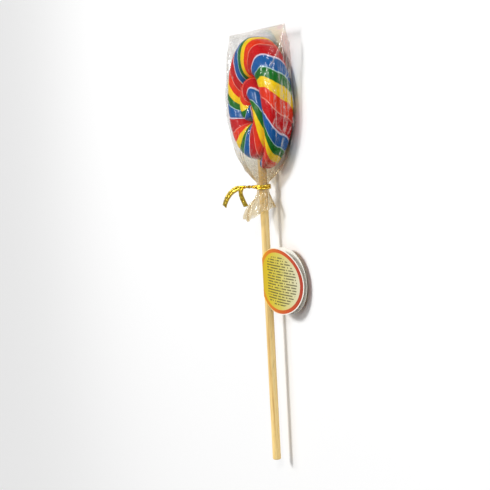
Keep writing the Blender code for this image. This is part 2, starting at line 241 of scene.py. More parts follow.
def select_only(piece):
    """Select one piece alone."""
    deselect()
    bpy.context.view_layer.objects.active = piece
    piece.select_set(True)


def edit(piece):
    """Enter edit mode on one piece alone."""
    select_only(piece)
    bpy.ops.object.mode_set(mode="EDIT")


def leave_edit():
    """Back to object mode."""
    bpy.ops.object.mode_set(mode="OBJECT")


def rise(edge):
    """How far an edge runs along Z."""
    return abs(edge.verts[0].co.z - edge.verts[1].co.z)


def select_edges(piece, test):
    """In edit mode, select the edges that pass a test and no others."""
    bpy.ops.mesh.select_mode(type="EDGE")
    bpy.ops.mesh.select_all(action="DESELECT")
    shape = bmesh.from_edit_mesh(piece.data)
    for edge in shape.edges:
        edge.select = test(edge)
    bmesh.update_edit_mesh(piece.data)


def face_outwards():
    """In edit mode, turn every face outwards, then go back to object mode."""
    bpy.ops.mesh.select_all(action="SELECT")
    bpy.ops.mesh.normals_make_consistent(inside=False)
    leave_edit()


def only_uv_layer(mesh, name):
    """A new UV layer in place of any others."""
    while mesh.uv_layers:
        mesh.uv_layers.remove(mesh.uv_layers[0])
    return mesh.uv_layers.new(name=name)


def apply_modifiers(piece):
    """Apply every modifier of a piece, in order."""
    select_only(piece)
    for modifier in list(piece.modifiers):
        bpy.ops.object.modifier_apply(modifier=modifier.name)


def open_tube(name, sides, cuts):
    """An open cylinder of radius 1 and height 1, cut lengthwise into rings."""
    deselect()
    bpy.ops.mesh.primitive_cylinder_add(
        vertices=sides, radius=1, depth=1, end_fill_type="NOTHING", location=(0, 0, 0)
    )
    tube = bpy.context.object
    tube.name = name
    tube.data.name = name
    edit(tube)
    for number in cuts:
        select_edges(tube, lambda edge: rise(edge) > 1e-6)
        bpy.ops.mesh.subdivide(number_cuts=number)
    leave_edit()
    return tube


def open_grid(name, columns, rows):
    """A flat grid from -0.5 to 0.5 both ways, with that many cells."""
    deselect()
    bpy.ops.mesh.primitive_grid_add(
        x_subdivisions=columns, y_subdivisions=rows, size=1, location=(0, 0, 0)
    )
    grid = bpy.context.object
    grid.name = name
    grid.data.name = name
    return grid


def close_ends(piece):
    """Fill a tube's open ends and turn its faces outwards."""
    edit(piece)
    bpy.ops.mesh.select_all(action="SELECT")
    bpy.ops.mesh.fill_holes(sides=0)
    face_outwards()


def shade_smooth(piece, degrees=None):
    """Smooth shading, sharp past an angle where one is given."""
    select_only(piece)
    if degrees is None:
        bpy.ops.object.shade_smooth()
    else:
        bpy.ops.object.shade_smooth_by_angle(angle=math.radians(degrees))


def add_materials(piece, *materials):
    """Give a piece its materials."""
    for material in materials:
        piece.data.materials.append(material)


def finish_piece(piece, node):
    """Give a piece its body and hide the solid node that it stands for."""
    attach(piece, "root")
    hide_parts(node)


class Nodes:
    """A short way to add and join a material's nodes."""

    def __init__(self, name):
        self.material = bpy.data.materials.new(name)
        self.material.use_nodes = True
        self.tree = self.material.node_tree
        self.shader = self.tree.nodes["Principled BSDF"]
        self.output = self.tree.nodes["Material Output"]

    def add(self, kind, **values):
        node = self.tree.nodes.new(kind)
        for key, value in values.items():
            setattr(node, key, value)
        return node

    def join(self, source, target):
        self.tree.links.new(source, target)

    def fix(self, node, values):
        for name, value in values.items():
            node.inputs[name].default_value = value

    def place(self):
        return self.add("ShaderNodeTexCoord").outputs["Object"]

    def uv(self, name):
        return self.add("ShaderNodeUVMap", uv_map=name).outputs["UV"]

    def split(self, vector):
        node = self.add("ShaderNodeSeparateXYZ")
        self.join(vector, node.inputs[0])
        return node.outputs

    def shade(self, colour, value):
        node = self.add("ShaderNodeHueSaturation")
        self.join(colour, node.inputs["Color"])
        self.join(value, node.inputs["Value"])
        return node.outputs["Color"]

    def math(self, operation, first, second=None, third=None):
        node = self.add("ShaderNodeMath", operation=operation)
        for socket, value in zip(node.inputs, (first, second, third)):
            if value is None:
                continue
            if isinstance(value, (int, float)):
                socket.default_value = value
            else:
                self.join(value, socket)
        return node.outputs[0]

    def noise(self, vector, scale, detail=2.0, roughness=0.5, stretch=(1, 1, 1)):
        mapping = self.add("ShaderNodeMapping")
        self.fix(mapping, {"Scale": stretch})
        self.join(vector, mapping.inputs["Vector"])
        node = self.add("ShaderNodeTexNoise")
        self.fix(node, {"Scale": scale, "Detail": detail, "Roughness": roughness})
        self.join(mapping.outputs["Vector"], node.inputs["Vector"])
        return node.outputs["Fac"]

    def ramp(self, factor, stops):
        node = self.add("ShaderNodeValToRGB")
        band = node.color_ramp.elements
        while len(band) > 1:
            band.remove(band[-1])
        band[0].position = stops[0][0]
        band[0].color = stops[0][1]
        for position, colour in stops[1:]:
            band.new(position).color = colour
        self.join(factor, node.inputs["Fac"])
        return node.outputs["Color"]

    def blend(self, factor, first, second):
        node = self.add("ShaderNodeMix", data_type="RGBA")
        for place, value in ((0, factor), (6, first), (7, second)):
            socket = node.inputs[place]
            if isinstance(value, (int, float, tuple)):
                socket.default_value = value
            else:
                self.join(value, socket)
        return node.outputs[2]

    def range(self, value, low, high, new_low, new_high):
        node = self.add("ShaderNodeMapRange")
        self.join(value, node.inputs["Value"])
        self.fix(node, {"From Min": low, "From Max": high, "To Min": new_low, "To Max": new_high})
        return node.outputs["Result"]

    def bump(self, height, strength, distance):
        node = self.add("ShaderNodeBump")
        self.fix(node, {"Strength": strength, "Distance": distance})
        self.join(height, node.inputs["Height"])
        return node.outputs["Normal"]


CRIMSON = srgb(202, 0, 12)
ORANGE_RED = srgb(234, 48, 0)
YELLOW = srgb(252, 212, 0)
GREEN = srgb(0, 112, 24)
BLUE = srgb(0, 92, 166)
WHITE_LINE = srgb(222, 212, 230)
PALE_LINE = srgb(170, 205, 205)
PINK_LINE = srgb(248, 140, 120)

# The stripes round the rope, each with its share of the way round
STRIPES = (
    (CRIMSON, 1.00),
    (WHITE_LINE, 0.12),
    (BLUE, 0.86),
    (PALE_LINE, 0.08),
    (GREEN, 0.66),
    (YELLOW, 0.74),
    (ORANGE_RED, 0.78),
    (PINK_LINE, 0.09),
)
STRIPE_EDGE = 0.006
STRIPE_WANDER = 0.040
STRIPE_RIPPLE = 0.012
# A stripe narrower than this is a thin line between two colours
WIDEST_LINE = 0.2
LINE_GROOVE = 0.30 * MM
PLAIN_GROOVE = 0.16 * MM
GROOVE_SHARE = 0.022


def stripe_stops():
    """Ramp stops for the stripes: each colour held, with a short blend between."""
    total = sum(width for _, width in STRIPES)
    stops = []
    start = 0.0
    for colour, width in STRIPES:
        end = start + width / total
        stops.append((start + 0.5 * STRIPE_EDGE, colour))
        stops.append((end - 0.5 * STRIPE_EDGE, colour))
        start = end
    return stops


def candy_material():
    """Glossy boiled sugar with rainbow stripes, slightly clear at its surface."""
    n = Nodes("striped sugar")
    uv = n.uv("rope")
    place = n.place()
    wander = n.math("SUBTRACT", n.noise(place, scale=130), 0.5)
    ripple = n.math("SUBTRACT", n.noise(place, scale=520), 0.5)
    wander = n.math("MULTIPLY", wander, STRIPE_WANDER)
    shift = n.math("ADD", wander, n.math("MULTIPLY", ripple, STRIPE_RIPPLE))
    phase = n.math("ADD", n.split(uv)["X"], shift)
    colour = n.ramp(n.math("FRACT", phase), stripe_stops())

    streaks = n.noise(uv, scale=26, detail=3, roughness=0.6, stretch=(3.0, 0.6, 1))
    streaks = n.range(streaks, 0.30, 0.72, 0.82, 1.12)
    clouds = n.range(n.noise(place, scale=210, detail=3), 0.35, 0.65, 0.93, 1.05)
    fibres = n.range(n.noise(uv, scale=90, stretch=(4.0, 0.35, 1)), 0.35, 0.65, 0.93, 1.07)
    brightness = n.math("MULTIPLY", n.math("MULTIPLY", streaks, clouds), fibres)
    n.join(n.shade(colour, brightness), n.shader.inputs["Base Color"])

    roughness = n.range(n.noise(place, scale=320), 0.3, 0.7, 0.14, 0.30)
    n.join(roughness, n.shader.inputs["Roughness"])
    n.fix(n.shader, {
        "IOR": 1.48,
        "Specular IOR Level": 0.15,
        "Subsurface Weight": 0.12,
        "Subsurface Radius": (1.0, 0.6, 0.4),
        "Subsurface Scale": 1.5 * MM,
        "Coat Weight": 0.04,
        "Coat Roughness": 0.06,
    })
    pits = n.math("MULTIPLY", n.noise(place, scale=900), 0.12)
    relief = n.math("ADD", n.noise(place, scale=160, detail=3), pits)
    n.join(n.bump(relief, strength=0.25, distance=0.6 * MM), n.shader.inputs["Normal"])
    return n.material


def wood_material():
    """Pale sanded birch with fine grain along the stick."""
    n = Nodes("pale birch")
    place = n.place()
    grain = n.noise(place, scale=700, detail=4, roughness=0.6, stretch=(1, 0.025, 1))
    pores = n.noise(place, scale=2200, stretch=(1, 0.04, 1))
    tone = n.ramp(grain, (
        (0.30, srgb(200, 152, 84)),
        (0.46, srgb(235, 200, 126)),
        (0.70, srgb(250, 225, 158)),
    ))
    dark = n.range(pores, 0.28, 0.42, 0.72, 1.0)
    mottled = n.range(n.noise(place, scale=55, stretch=(1, 0.3, 1)), 0.3, 0.7, 0.90, 1.06)
    colour = n.shade(tone, n.math("MULTIPLY", dark, mottled))
    n.join(colour, n.shader.inputs["Base Color"])
    n.fix(n.shader, {"Roughness": 0.55})
    n.join(n.bump(grain, strength=0.35, distance=0.12 * MM), n.shader.inputs["Normal"])
    return n.material


# How much the film reflects: everywhere, towards its edges, on its creases and at most
SHINE_LEAST = 0.002
SHINE_AT_EDGES = 0.24
SHINE_ON_CREASES = 0.12
SHINE_MOST = 0.24
# How milky the film is: on its creases (partly the film's own whitening, partly painted glints), at
# its edges, in its seal and at most
CREASE_WHITENING_AND_GLINTS = 0.36
MILKY_EDGES = 0.30
MILKY_SEAL = 0.16
MILKY_MOST = 0.75
# How milky its gathers are: everywhere, and more in their streaks
MILKY_GATHERS = 0.08
MILKY_STREAKS = 0.46
# The haze and the clear film, each where the bag is smooth and where it is gathered
HAZE_COLOURS = ((0.80, 0.77, 0.70, 1), (0.80, 0.69, 0.48, 1))
CLEAR_COLOURS = ((0.91, 0.905, 0.895, 1), (0.88, 0.82, 0.69, 1))
# Distances above the neck between which the film goes from smooth to gathered
GATHERED_FROM = 22 * MM
GATHERED_TO = 5 * MM
# Distances below the bag's top edge where the seal's band starts and is full
SEAL_BAND_FOOT = 4 * MM
SEAL_BAND_FULL = 2.5 * MM


def film_material():
    """Thin clear film, milky where it is creased, gathered or seen edge-on; the white along its
    creases is partly the film's own whitening and partly painted glints.
    """
    n = Nodes("clear film")
    place = n.place()
    along = n.split(place)["Y"]
    crackle = n.noise(place, scale=260, detail=3, roughness=0.55)
    normal = n.bump(crackle, strength=0.40, distance=0.35 * MM)
    clear = n.add("ShaderNodeBsdfTransparent")
    gloss = n.add("ShaderNodeBsdfGlossy")
    n.fix(gloss, {"Roughness": 0.075, "Color": (1, 1, 1, 1)})
    n.join(normal, gloss.inputs["Normal"])
    haze = n.add("ShaderNodeBsdfDiffuse")
    facing = n.add("ShaderNodeLayerWeight")
    n.fix(facing, {"Blend": 0.33})
    n.join(normal, facing.inputs["Normal"])
    crease = n.add("ShaderNodeAttribute", attribute_name="crease").outputs["Fac"]
    shine = n.math("MULTIPLY_ADD", facing.outputs["Fresnel"], SHINE_AT_EDGES, SHINE_LEAST)
    shine = n.math("MULTIPLY_ADD", crease, SHINE_ON_CREASES, shine)
    shine = n.math("MINIMUM", shine, SHINE_MOST)

    streaks = n.noise(place, scale=700, detail=3, roughness=0.6, stretch=(1, 0.10, 1))
    streaks = n.range(streaks, 0.42, 0.66, 0.0, 1.0)
    gathered = n.range(along, NECK_Y + GATHERED_FROM, NECK_Y + GATHERED_TO, 0.0, 1.0)
    n.join(n.blend(gathered, *HAZE_COLOURS), haze.inputs["Color"])
    n.join(n.blend(gathered, *CLEAR_COLOURS), clear.inputs["Color"])
    streaks = n.math("MULTIPLY_ADD", streaks, MILKY_STREAKS, MILKY_GATHERS)
    gathered = n.math("MULTIPLY", gathered, streaks)
    seal = n.range(along, SEAL_Y - SEAL_BAND_FOOT, SEAL_Y - SEAL_BAND_FULL, 0.0, 1.0)
    seal = n.math("MULTIPLY", seal, MILKY_SEAL)
    edge = n.math("MULTIPLY", n.math("POWER", facing.outputs["Facing"], 6.0), MILKY_EDGES)
    # Partly painted glints: white haze along the sharpest creases, together with the film's own
    # whitening there
    milky = n.math("MULTIPLY", n.math("POWER", crease, 2.2), CREASE_WHITENING_AND_GLINTS)
    for part in (gathered, seal, edge):
        milky = n.math("ADD", milky, part)
    milky = n.math("MINIMUM", milky, MILKY_MOST)
    surface = clear
    for share, shader in ((milky, haze), (shine, gloss)):
        mixed = n.add("ShaderNodeMixShader")
        for socket, source in zip(mixed.inputs, (share, surface.outputs[0], shader.outputs[0])):
            n.join(source, socket)
        surface = mixed
    n.join(surface.outputs[0], n.output.inputs["Surface"])
    n.tree.nodes.remove(n.shader)
    return n.material


def gold_material():
    """Bright gold foil with fine crinkles across the ribbon, its colour painted with reflections:
    painted shade and painted highlights over the crinkles.
    """
    n = Nodes("gold foil")
    crinkles = n.noise(n.uv("ribbon"), scale=1.5, detail=3, roughness=0.6, stretch=(0.45, 1.6, 1))
    patches = n.noise(n.place(), scale=600)
    mixed = n.math("ADD", n.math("MULTIPLY", crinkles, 0.7), n.math("MULTIPLY", patches, 0.3))
    # Painted reflection: the colour runs from dark gold to pale gold over the crinkles and patches,
    # painted shade and painted highlights of the creased foil
    colour = n.ramp(mixed, (
        (0.36, srgb(150, 110, 12)),
        (0.49, srgb(240, 198, 46)),
        (0.62, srgb(255, 238, 130)),
    ))
    n.join(colour, n.shader.inputs["Base Color"])
    n.fix(n.shader, {"Metallic": 1.0})
    n.join(n.range(patches, 0.3, 0.7, 0.12, 0.30), n.shader.inputs["Roughness"])
    n.join(n.bump(crinkles, strength=0.9, distance=0.35 * MM), n.shader.inputs["Normal"])
    return n.material


def paper_materials():
    """The tag's printed outside and its plain inside."""
    n = Nodes("printed paper")
    leaf = n.split(n.uv("leaf"))
    along = leaf["X"]
    across = leaf["Y"]
    field = n.ramp(along, (
        (0.00, srgb(208, 172, 0)),
        (0.20, srgb(208, 184, 14)),
        (0.48, srgb(204, 190, 78)),
        (0.80, srgb(208, 202, 156)),
        (1.00, srgb(216, 212, 190)),
    ))
    border = n.ramp(along, (
        (0.00, srgb(218, 140, 0)),
        (0.30, srgb(210, 108, 6)),
        (0.65, srgb(194, 72, 14)),
        (1.00, srgb(168, 44, 16)),
    ))
    # Distance from the oval's middle: 1 on the leaf's edge
    oval_middle = TAG_OVAL_CENTRE / TAG_LEAF_LENGTH
    oval_half = 1 - oval_middle
    lengthwise = n.math("DIVIDE", n.math("SUBTRACT", along, oval_middle), oval_half)
    lengthwise = n.math("MULTIPLY", lengthwise, lengthwise)
    oval = n.math("SQRT", n.math("ADD", lengthwise, n.math("MULTIPLY", across, across)))
    past_field = n.math("GREATER_THAN", oval, BORDER_INNER)
    before_margin = n.math("LESS_THAN", oval, BORDER_OUTER)
    on_border = n.math("MULTIPLY", past_field, before_margin)
    beyond = n.math("GREATER_THAN", oval, BORDER_OUTER)
    margin = n.ramp(along, ((0.1, srgb(238, 190, 10)), (0.5, srgb(240, 236, 226))))
    printed = n.blend(on_border, field, border)
    printed = n.blend(beyond, printed, margin)

    # Rows of short plain dashes where small print would be
    row = n.math("MULTIPLY", n.math("ADD", across, 1.0), ROWS_EACH_WAY)
    row_part = n.math("FRACT", row)
    cell = n.add("ShaderNodeCombineXYZ")
    n.join(n.math("FLOOR", n.math("MULTIPLY", along, CELLS_ALONG)), cell.inputs[0])
    n.join(n.math("FLOOR", row), cell.inputs[1])
    chance = n.add("ShaderNodeTexWhiteNoise", noise_dimensions="2D")
    n.join(cell.outputs[0], chance.inputs["Vector"])
    marks = n.math("GREATER_THAN", row_part, ROW_TOP)
    for test, value, limit in (
        ("LESS_THAN", row_part, ROW_FOOT),
        ("GREATER_THAN", chance.outputs["Value"], BLANK_CELLS),
        ("LESS_THAN", oval, PRINT_OUTER),
        ("GREATER_THAN", along, PRINT_START),
    ):
        marks = n.math("MULTIPLY", marks, n.math(test, value, limit))
    printed = n.blend(n.math("MULTIPLY", marks, 0.80), printed, srgb(70, 66, 30))
    n.join(printed, n.shader.inputs["Base Color"])
    n.fix(n.shader, {"Roughness": 0.38})
    grain = n.noise(n.place(), scale=900)
    n.join(n.bump(grain, strength=0.08, distance=0.1 * MM), n.shader.inputs["Normal"])

    plain = Nodes("plain paper")
    fibres = plain.noise(plain.place(), scale=1200, detail=3)
    colour = plain.ramp(fibres, ((0.3, srgb(226, 222, 212)), (0.7, srgb(240, 238, 230))))
    plain.join(colour, plain.shader.inputs["Base Color"])
    plain.fix(plain.shader, {"Roughness": 0.75})
    return [n.material, plain.material]


def outline_radius(bearing):
    """The disc's outline: slightly out of round."""
    wobble = 0.5 * math.cos(2 * bearing + 0.7) + 0.3 * math.cos(3 * bearing - 1.1)
    return DISC_RADIUS - 0.6 * MM + wobble * MM


def rope_outer(turned):
    """Distance from the disc's centre to the rope's outer side."""
    if turned > FULL_TURN:
        return rope_inner(turned - FULL_TURN) - ROPE_GAP
    tucked = smooth_step((turned - FULL_TURN + TUCK_ANGLE) / TUCK_ANGLE)
    return outline_radius(TAIL_ANGLE + turned) - tucked * (ROPE_TAIL_WIDTH + ROPE_GAP)


def rope_inner(turned):
    """Distance from the disc's centre to the rope's inner side."""
    if turned > FULL_TURN:
        start = rope_outer(FULL_TURN) - ROPE_WIDTH
        return mix(start, CORE_RADIUS, smooth_step((turned - FULL_TURN) / CORE_TURN))
    width = mix(ROPE_TAIL_WIDTH, ROPE_WIDTH, smooth_step(turned / TAIL_TAPER))
    return rope_outer(turned) - width


def rope_half_height(turned):
    """The rope thins towards its tail and dips a little at its tip."""
    tail = mix(TAIL_THINNEST, 1.0, smooth_step(turned / TAIL_THINNING))
    tip = mix(TIP_THINNEST, 1.0, smooth_step((COIL_ANGLE - turned) / TIP_THINNING))
    return CANDY_HALF_THICKNESS * tail * tip


def end_rounding(turned):
    """The share of the full section, falling to almost nothing at both ends."""
    from_tail = min(turned / TAIL_ROUNDING, 1.0)
    from_tip = min((COIL_ANGLE - turned) / TIP_ROUNDING, 1.0)
    nearest = min(from_tail, from_tip)
    return max(math.sqrt(max(1 - (1 - nearest) ** 2, 0.0)), 0.02)


def twist_table(steps):
    """Turns of twist gathered by the rope at each of its steps."""
    turns = [0.0]
    for step in range(steps):
        turned = COIL_ANGLE * (step + 0.5) / steps
        middle = 0.5 * (rope_outer(turned) + rope_inner(turned))
        turns.append(turns[-1] + middle * COIL_ANGLE / steps / STRIPE_LEAD)
    return turns


def rope_point(turned, around):
    """A point of the rope's surface in the coil."""
    outer = rope_outer(turned)
    inner = rope_inner(turned)
    half_width = 0.5 * (outer - inner)
    squareness = OUTER_SQUARENESS if math.cos(around) > 0 else INNER_SQUARENESS
    rounding = end_rounding(turned)
    sideways = rounding * half_width * power_curve(math.cos(around), squareness)
    radius = 0.5 * (outer + inner) + sideways
    height = rounding * rope_half_height(turned) * power_curve(math.sin(around), squareness)
    bearing = TAIL_ANGLE + turned
    return Vector((radius * math.cos(bearing), radius * math.sin(bearing), MID_HEIGHT + height))


def stripe_grooves():
    """Where one stripe ends and the next begins, and how deep the seam between them is."""
    total = sum(width for _, width in STRIPES)
    grooves = []
    start = 0.0
    for index, (_, width) in enumerate(STRIPES):
        if width < WIDEST_LINE:
            grooves.append(((start + 0.5 * width) / total, LINE_GROOVE))
        elif index and STRIPES[index - 1][1] >= WIDEST_LINE:
            grooves.append((start / total, PLAIN_GROOVE))
        start += width
    return grooves


def groove_depth(grooves, phase):
    """How far the surface dips at a place round the stripes."""
    depth = 0.0
    for place, deepest in grooves:
        away = abs((phase - place + 0.5) % 1.0 - 0.5)
        depth += deepest * math.exp(-(away / GROOVE_SHARE) ** 2)
    return depth


def make_candy(material):
    """The striped rope: a tube cut into rings, coiled, its ends rounded and closed."""
    rope = open_tube("swirl_candy", ROPE_SIDES, ROPE_CUTS)
    mesh = rope.data
    steps = (ROPE_CUTS[0] + 1) * (ROPE_CUTS[1] + 1)
    grooves = stripe_grooves()
    turns = twist_table(steps)
    places = {}
    for vertex in mesh.vertices:
        around = math.atan2(vertex.co.y, vertex.co.x) % FULL_TURN
        step = min(max(round((vertex.co.z + 0.5) * steps), 0), steps)
        places[vertex.index] = (around, step)
        point = rope_point(COIL_ANGLE * step / steps, around)
        dent = noise.noise(point * 90) * 0.22 * MM + noise.noise(point * 260) * 0.05 * MM
        flat = Vector((point.x, point.y, 0)).normalized()
        sunk = Vector((0, 0, 0.25 * abs(dent) * math.sin(around)))
        point += flat * dent * math.cos(around) - sunk
        phase = around / FULL_TURN - turns[step] + STRIPE_START
        rounding = end_rounding(COIL_ANGLE * step / steps)
        dip = groove_depth(grooves, phase) * rounding
        point -= (flat * math.cos(around) + Vector((0, 0, math.sin(around)))) * dip
        vertex.co = point
    layer = only_uv_layer(mesh, "rope")
    for face in mesh.polygons:
        corners = [places[mesh.loops[loop].vertex_index] for loop in face.loop_indices]
        wraps = max(a for a, _ in corners) - min(a for a, _ in corners) > math.pi
        for loop, (around, step) in zip(face.loop_indices, corners):
            if wraps and around < math.pi:
                around += FULL_TURN
            phase = around / FULL_TURN - turns[step] + STRIPE_START
            layer.data[loop].uv = (phase, turns[step])
    close_ends(rope)
    shade_smooth(rope)
    add_materials(rope, material)
    finish_piece(rope, "candy")


def make_stick(material):
    """The stick: a cylinder with eased ends, very slightly out of true."""
    deselect()
    length = STICK_TOP_Y - STICK_END_Y
    bpy.ops.mesh.primitive_cylinder_add(
        vertices=STICK_SIDES, radius=STICK_RADIUS, depth=length, location=(0, 0, 0)
    )
    stick = bpy.context.object
    stick.name = "wooden_stick"
    edit(stick)
    select_edges(stick, lambda edge: rise(edge) < 0.5 * length)
    bpy.ops.mesh.bevel(offset=STICK_EASING, segments=4, affect="EDGES")
    select_edges(stick, lambda edge: rise(edge) > 0.5 * length)
    bpy.ops.mesh.subdivide(number_cuts=STICK_CUTS)
    leave_edit()
    middle_y = 0.5 * (STICK_TOP_Y + STICK_END_Y)
    for vertex in stick.data.vertices:
        across, upright, along = vertex.co.x, vertex.co.y, vertex.co.z
        fibre = 1 + 0.012 * noise.noise(Vector((across * 500, upright * 500, along * 14)))
        vertex.co = Vector((across * fibre, middle_y - along, MID_HEIGHT + upright * fibre))
    close_ends(stick)
    shade_smooth(stick, 40)
    add_materials(stick, material)
    finish_piece(stick, "stick")


def film_hull():
    """The solid bag as a tree for ray casts."""
    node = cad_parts["film"]
    points = [node.matrix_world @ vertex.co for vertex in node.data.vertices]
    faces = [tuple(face.vertices) for face in node.data.polygons]
    return BVHTree.FromPolygons(points, faces)


def reach(hull, along, aim):
    """Distance from the stick's line to the bag's inside, in a direction across it."""
    distance = hull.ray_cast(Vector((0, along, MID_HEIGHT)), aim)[3]
    return distance if distance is not None else NECK_RADIUS


def facet_field(seed, around_cell, along_cell):
    """Flat facets between random heights from 0 to 1, over the bag's girth and length."""
    random.seed(seed)
    columns = round(GIRTH / around_cell)
    lowest = NECK_Y - SKIRT_LENGTH
    rows = round((SEAL_Y - lowest) / along_cell) + 3
    points = []
    heights = []
    for row in range(rows):
        for column in range(columns):
            shift = 0.5 if row % 2 else 0.0
            sideways = random.uniform(-FACET_JITTER, FACET_JITTER)
            upwards = random.uniform(-FACET_JITTER, FACET_JITTER)
            across = (column + shift + sideways) / columns * GIRTH
            along = lowest + (row - 1 + upwards) * along_cell
            height = random.random()
            for lap in (-1, 0, 1):
                points.append(Vector((across + lap * GIRTH, along)))
                heights.append(height)
    mesh = delaunay_2d_cdt(points, [], [], 0, 1e-7)
    lifted = [(p.x, p.y, heights[source[0]]) for p, source in zip(mesh[0], mesh[3])]
    return BVHTree.FromPolygons(lifted, [tuple(face) for face in mesh[2]])


def facet_height(field, across, along):
    """The facets' height at a place."""
    hit = field.ray_cast(Vector((across % GIRTH, along, 2)), Vector((0, 0, -1)))[0]
    return hit.z if hit else 0.5


def film_creases():
    """Creases: where each starts, its direction, length, width, height and bend."""
    random.seed(12)
    creases = []
    for corner, inwards in ((0.0, 1), (0.5 * GIRTH, -1), (0.5 * GIRTH, 1), (GIRTH, -1)):
        for number in range(CORNER_CREASES):
            slope = math.radians(random.uniform(8, 24) + 15 * number)
            heading = math.atan2(-math.sin(slope), inwards * math.cos(slope))
            length = random.uniform(24, 46) * MM
            width = random.uniform(3.0, 6.0) * MM
            height = random.uniform(0.9, 1.9) * MM
            bend = random.uniform(-4, 4)
            creases.append((corner, SEAL_Y - 2 * MM, heading, length, width, height, bend))
    for side in (0.0, 0.5 * GIRTH):
        for _ in range(SIDE_CREASES):
            across = side + random.uniform(-17, 17) * MM
            along = random.uniform(-34, 18) * MM
            heading = math.radians(90 + random.uniform(-9, 9))
            length = random.uniform(16, 44) * MM
            height = random.uniform(0.6, 1.5) * MM
            bend = random.uniform(-5, 5)
            creases.append((across, along, heading, length, 3.5 * MM, height, bend))
    for _ in range(SMALL_CREASES):
        across = random.uniform(0, GIRTH)
        along = random.uniform(NECK_TOP_Y + 8 * MM, SEAL_Y - 6 * MM)
        heading = math.radians(90 + random.gauss(0, 38))
        length = random.uniform(5, 19) * MM
        width = random.uniform(1.6, 4.0) * MM
        height = random.uniform(0.2, 0.75) * MM
        bend = random.uniform(-18, 18)
        creases.append((across, along, heading, length, width, height, bend))
    return creases


def crease_relief(across, along):
    """The height of the creases at many places at once, each steeper on one side."""
    relief = np.zeros(len(across))
    for start, low, heading, length, width, height, bend in film_creases():
        sideways = (across - start + 0.5 * GIRTH) % GIRTH - 0.5 * GIRTH
        upwards = along - low
        lengthwise = sideways * math.cos(heading) + upwards * math.sin(heading)
        off = upwards * math.cos(heading) - sideways * math.sin(heading) + bend * lengthwise ** 2
        share = np.clip(lengthwise / length, 0, 1)
        taper = 1 - np.abs(2 * share - 1) ** 2.5
        near = np.clip(1 - np.abs(off) / np.where(off > 0, width, 0.3 * width), 0, 1)
        relief += height * taper * near
    return relief


def gather_relief(around, along):
    """The height of the gathers that fan out above the tie and down the skirt."""
    above = np.clip(along - NECK_TOP_Y, 0, None)
    below = np.clip(NECK_LOW_Y - along, 0, None)
    wander = 0.55 * np.sin(3 * around + 1.3) + 0.35 * np.sin(7 * around - 0.4)
    wander += 0.30 * np.sin(2 * around + along * 90)
    phase = (GATHERS * around / FULL_TURN + wander) % 1.0
    crest = (1 - np.abs(2 * phase - 1)) ** 1.6
    uneven = 0.62 + 0.38 * np.sin(5 * around + 2.1) * np.sin(2 * around + 0.5)
    faded = np.exp(-np.clip(above - GATHER_RISE, 0, None) / GATHER_FADE)
    upper = np.clip(above / GATHER_RISE, 0, 1) ** 0.8 * faded
    lower = np.clip(below / SKIRT_GATHER_RISE, 0, 1) ** 0.7
    return crest * uneven * (GATHER_HEIGHT * upper + SKIRT_GATHER_HEIGHT * lower)


def mark_creases(bag):
    """Keep on each point how sharply the film is creased there, from 0 to 1."""
    shape = bmesh.new()
    shape.from_mesh(bag.data)
    shape.normal_update()
    values = []
    for vertex in shape.verts:
        sharpest = 0.0
        for edge in vertex.link_edges:
            if len(edge.link_faces) == 2:
                sharpest = max(sharpest, edge.calc_face_angle(0.0))
        values.append(min(max((sharpest - CREASE_FROM) / (CREASE_FULL - CREASE_FROM), 0.0), 1.0))
    shape.free()
    layer = bag.data.attributes.new("crease", "FLOAT", "POINT")
    layer.data.foreach_set("value", values)


def pleat_wave(turn):
    """The skirt's uneven pleats round the stick, from 0 to 1."""
    wave = math.cos(PLEATS * turn + 0.8 * math.sin(2 * turn))
    uneven = 0.75 + 0.25 * math.sin(3 * turn + 90 * NECK_Y)
    return 0.5 * (1 + wave) * uneven


def skirt_end(turn):
    """Where the skirt's uneven edge lies along the stick."""
    lean = 0.5 * (1 - math.cos(turn - SKIRT_LONG_SIDE))
    jags = math.sin(3 * turn + 0.5) + 0.6 * math.sin(7 * turn)
    return NECK_Y - SKIRT_LENGTH * (1 - SKIRT_SLANT * lean) + SKIRT_JAGS * jags


def film_place(share, turn):
    """Where a point of the film lies along the stick, from the skirt's edge to the seal."""
    if share < SKIRT_RINGS:
        return mix(skirt_end(turn) + SKIRT_INSET, NECK_LOW_Y, share / SKIRT_RINGS)
    return mix(NECK_LOW_Y, SEAL_Y - SEAL_INSET, (share - SKIRT_RINGS) / (1 - SKIRT_RINGS))


def skirt_point(turn, place):
    """A point of the flared, pleated skirt below the neck."""
    share = smooth_step((NECK_LOW_Y - place) / SKIRT_FLARE)
    depth = mix(0.5 * PLEAT_DEPTH, PLEAT_DEPTH, share)
    radius = mix(NECK_RADIUS, SKIRT_RADIUS, share) * (1 + depth * (pleat_wave(turn) - 0.6 * share))
    across = radius * math.cos(turn) + SKIRT_DRIFT_ACROSS * share
    upright = radius * mix(1.0, SKIRT_FLATTEN, share) * math.sin(turn) + SKIRT_DRIFT_UP * share
    return Vector((across, place, MID_HEIGHT + upright))


